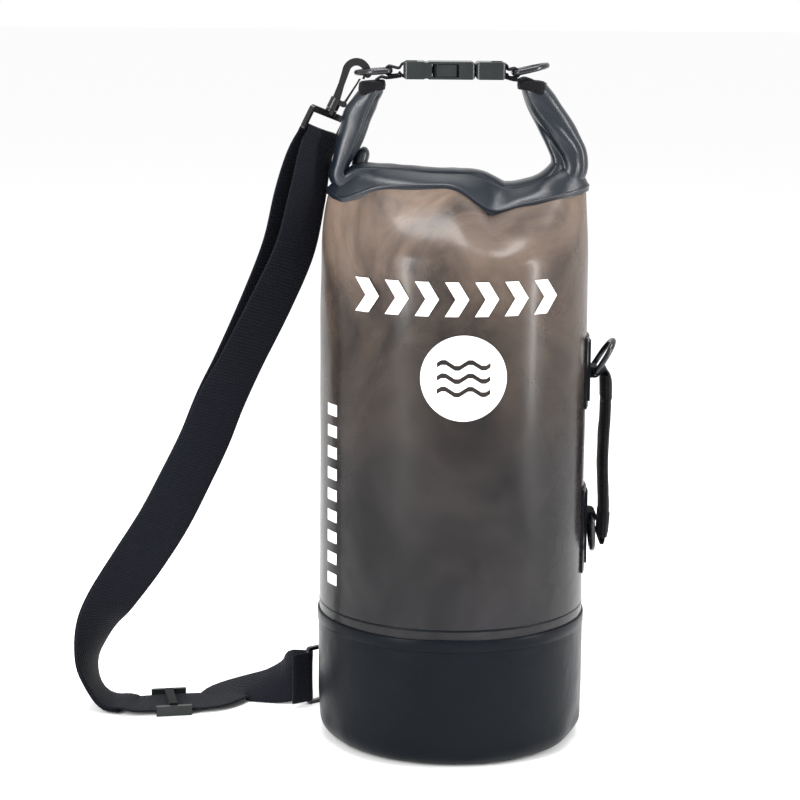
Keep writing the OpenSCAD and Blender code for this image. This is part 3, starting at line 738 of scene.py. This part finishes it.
def closure_tab(name, node, body, ring, bar, ear, side):
    """Webbing round a ring's bar and a buckle's bar, pinched between the two and sewn to the ear."""
    rx, rz = ring
    bx, bz = bar
    mx = (rx + bx) / 2 + side * 0.0006
    mz = (rz + bz) / 2
    loop = [(mx, mz - 0.0013), (bx - side * 0.0034, bz - 0.0036), (bx - side * 0.0002, bz - 0.0049),
            (bx + side * 0.0032, bz - 0.0034), (bx + side * 0.0038, bz), (bx + side * 0.0032, bz + 0.0034),
            (bx - side * 0.0002, bz + 0.0049), (bx - side * 0.0034, bz + 0.0036), (mx, mz + 0.0015),
            (rx + side * 0.0020, rz + 0.0026), (rx - side * 0.0008, rz + 0.0031),
            (rx - side * 0.0029, rz + 0.0012), (rx - side * 0.0029, rz - 0.0014),
            (rx - side * 0.0004, rz - 0.0031), (rx + side * 0.0026, rz - 0.0032),
            (mx - side * 0.0002, mz - 0.0031)]
    foot = [(mx + side * 0.0016, mz - 0.0040), (rx + side * 0.0016, rz - 0.0047),
            (rx - side * 0.0028, rz - 0.0050),
            ((rx + ear[0]) / 2 - side * 0.001, (rz + ear[1]) / 2 - 0.0010), ear]
    for part, route in (("loop", loop), ("foot", foot)):
        pts, _ = even([(x, 0, z) for x, z in route], 0.0010)
        tape, _ = ribbon(name + "_" + part, pts, np.tile([0, 1.0, 0], (len(pts), 1)), 0.025, 1.4 * MM)
        dress(tape, TAPE_WEB)
        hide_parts(node)
        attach(tape, body)


# ---------- shoulder strap ----------

# Upper hook: its lean, the directions along and across it, and its origin
TILT = math.radians(26.1)
U_DOWN = np.array([-math.sin(TILT), 0, -math.cos(TILT)])
U_SIDE = np.array([math.cos(TILT), 0, -math.sin(TILT)])
UPPER_O = np.array([-0.0729, 0, 0.4731])
# Lower hook: the same, with its direction out from the base
LOWER_DIR = math.radians(220)
V_OUT = np.array([math.cos(LOWER_DIR), math.sin(LOWER_DIR), 0])
V_SIDE = np.array([math.sin(LOWER_DIR), -math.cos(LOWER_DIR), 0])
LOWER_O = np.array([-0.0694, 0.0872, 0.022]) - V_SIDE * 4.2 * MM
# How far each strap loop's bar lies along its hook, and the strap's radius round it
BAR_REACH = 0.04875
LOWER_TURN = 0.0029
TOP_TURN = 0.0032
# Slider: its centre on the floor and the directions along and across it
SLIDER = np.array([-0.206, 0.043, 0.0032])
SLIDE = math.radians(11)
S_ALONG = np.array([math.cos(SLIDE), math.sin(SLIDE), 0])
S_ACROSS = np.array([-math.sin(SLIDE), math.cos(SLIDE), 0])


def turned(deg):
    return U_SIDE * math.cos(math.radians(deg)) + np.array([0, math.sin(math.radians(deg)), 0])


def tilted(deg):
    return np.array([0, math.cos(math.radians(deg)), math.sin(math.radians(deg))])


def strap_route():
    """Route and width direction: lower hook, slider, round the upper loop and back."""
    bar = LOWER_O + V_OUT * BAR_REACH
    single = [(bar + V_OUT * 0.016 - V_SIDE * 0.0012, (0, 0, 1)),
              (bar + V_OUT * 0.006 - V_SIDE * 0.0018, (0, 0, 1)),
              (bar - V_SIDE * LOWER_TURN, (0, 0, 1)),
              (bar - V_OUT * LOWER_TURN, (0, 0, 1)),
              (bar + V_SIDE * LOWER_TURN, (0, 0, 1)),
              ((-0.112, 0.0575, 0.0215), (0, 0.05, 1)),
              ((-0.1185, 0.061, 0.0184), tilted(66)),
              ((-0.1265, 0.066, 0.0134), tilted(38)),
              ((-0.139, 0.071, 0.0093), tilted(21)),
              ((-0.152, 0.075, 0.0063), tilted(11)),
              ((-0.163, 0.070, 0.0045), tilted(5)),
              ((-0.171, 0.056, 0.0036), S_ACROSS),
              (SLIDER + S_ALONG * 0.026, S_ACROSS),
              (SLIDER, S_ACROSS),
              (SLIDER - S_ALONG * 0.026, S_ACROSS)]
    double = [((-0.238, 0.040, 0.0032), (0, 1, 0), 1.3), ((-0.252, 0.044, 0.004), (0, 1, 0), 1.3),
              ((-0.262, 0.047, 0.011), (0.05, 1, -0.05), 1.2), ((-0.267, 0.048, 0.024), turned(80), 1.2),
              ((-0.267, 0.046, 0.040), turned(68), 1.2), ((-0.261, 0.042, 0.062), turned(50), 1.2),
              ((-0.249, 0.035, 0.084), turned(30), 1.2), ((-0.228, 0.027, 0.116), turned(18), 1.2),
              ((-0.208, 0.020, 0.148), turned(17), 1.2), ((-0.192, 0.014, 0.179), turned(20), 1.2),
              ((-0.177, 0.009, 0.210), turned(25), 1.3), ((-0.165, 0.004, 0.240), turned(30), 1.6),
              ((-0.151, -0.001, 0.270), turned(38), 2.6), ((-0.131, -0.004, 0.313), turned(40), 5),
              ((-0.116, -0.005, 0.350), turned(44), 7), ((-0.108, -0.005, 0.385), turned(48), 7),
              ((-0.1023, -0.0035, 0.410), turned(52), 5)]
    mid = np.array([p for p, w, g in double])
    width = unit(np.array([w for p, w, g in double], float))
    spread = np.array([g for p, w, g in double])[:, None] * MM
    ahead = np.vstack([mid[1:], mid[-1:]])
    behind = np.vstack([mid[:1], mid[:-1]])
    side = np.cross(unit(ahead - behind), width)
    front, back = mid - side * spread, (mid + side * spread)[::-1]
    w_top = turned(54)
    top_bar = UPPER_O + U_DOWN * BAR_REACH
    top_out = -np.cross(U_DOWN, w_top)
    turn = [top_bar + (top_out * p - U_DOWN * q) * TOP_TURN
            for p, q in [(-1, -2.2), (-1, 0), (-0.707, 0.707), (0, 1), (0.707, 0.707), (1, 0), (1, -2.2)]]
    places = [p for p, w in single] + list(front) + turn + list(back)
    widths = [w for p, w in single] + list(width) + [w_top] * 7 + list(width[::-1])
    return np.hstack([np.array(places, float), unit(np.array(widths, float))])


def shoulder_strap():
    route = strap_route()
    rows, _ = even(route, 0.004)
    bow = 0.0008 * np.sin(np.linspace(0, 40, len(rows)))
    strap, length = ribbon("shoulder_strap_web", rows[:, :3], rows[:, 3:6], 0.038, 1.6 * MM, bow=bow)
    dress(strap, STRAP_WEB)
    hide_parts("shoulder_strap")
    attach(strap, "bag")


# ---------- handle ----------

def handle():
    route = [(0.0990, 0, 0.2625), (0.1035, 0, 0.2635), (0.1070, 0, 0.2660), (0.1088, 0, 0.2630),
             (0.1086, 0, 0.2500), (0.1080, 0, 0.2200), (0.1083, 0, 0.1850), (0.1086, 0, 0.1500),
             (0.1086, 0, 0.1430), (0.1066, 0, 0.1400), (0.1030, 0, 0.1500), (0.0985, 0, 0.1590)]
    pts, _ = even(route, 0.0025)
    strip, length = ribbon("handle_web", pts, np.tile([0, 1.0, 0], (len(pts), 1)), 0.023, 1.4 * MM)
    dress(strip, TAPE_WEB)
    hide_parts("handle_webbing")
    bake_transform(strip)

    # padded wrap: flat-oval tube, pinched at both bound ends
    rings = []
    wrap_low, wrap_high = 0.146, 0.262
    for u in np.linspace(0, 1, 72):
        z = wrap_low + (wrap_high - wrap_low) * u
        ends = bump(u, 0, 0.02) + bump(u, 1, 0.02)
        stitch = bump(u, 0.16, 0.012) + bump(u, 0.84, 0.012)
        pinch = 1 - 0.18 * ends - 0.05 * stitch
        band = 1.12 if min(u, 1 - u) < 0.15 else 1.0
        half_x = 0.0037 * pinch * band
        half_y = 0.0165 * (1 - 0.05 * (bump(u, 0, 0.03) + bump(u, 1, 0.03)))
        centre = 0.1078 + 0.0006 * math.sin(u * math.pi * 3)
        ring = []
        for k in range(48):
            a = k * 2 * math.pi / 48
            c, s = math.cos(a), math.sin(a)
            x = centre + half_x * math.copysign(abs(c)**0.7, c)
            y = half_y * math.copysign(abs(s)**0.75, s)
            ring.append((x + 0.0004 * wobble((x, y, z), 0.012, 4.0), y, z))
        rings.append(ring)
    wrap = loft("handle_wrap", rings, caps=True)
    dress(wrap, TAB_WEB)
    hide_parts("handle_sleeve")
    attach(wrap, "handle")


# ---------- build ----------

body_film()
base_band()
weld_seams()
collar()
seam_bead()
film_rib()
left_roll()
right_roll()
ear_hem("ear_hem_left", "left_ear_binding", "bag", 0.16)
ear_hem("ear_hem_right", "right_ear_binding", "plug", -0.14)
closure_tab("tab_left", "left_tab", "bag", (-0.0461, 0.4729), (-0.0346, BUCKLE_Z), (-0.0560, 0.4662), 1)
closure_tab("tab_right", "right_tab", "plug", (0.0399, 0.4720), (0.0312, BUCKLE_Z), (0.0530, 0.4668), -1)
roll_knob()
stiffener()
shoulder_strap()
handle()

finish_cad(["bottom_disc", "base_patch", "handle_upper_patch", "handle_lower_patch"], BASE_FABRIC_PAINTED_SHADE)
finish_cad(["back_seam_strip"], FILM)
finish_cad(["front_print", "front_badge", "side_print"], INK)
finish_cad(["base_tab", "handle_upper_tab", "handle_lower_tab", "slider_wrap"], TAB_WEB)
finish_cad(["buckle_socket", "buckle_plug", "front_prong", "rear_prong", "strap_slider"], BUCKLE, 0.6 * MM)
finish_cad(["left_ring", "right_ring", "base_ring", "handle_upper_ring", "handle_lower_ring"], RING)
finish_cad(["upper_hook", "upper_hook_gate", "lower_hook", "lower_hook_gate", "upper_strap_loop",
            "lower_strap_loop"], HOOK, 0.3 * MM)
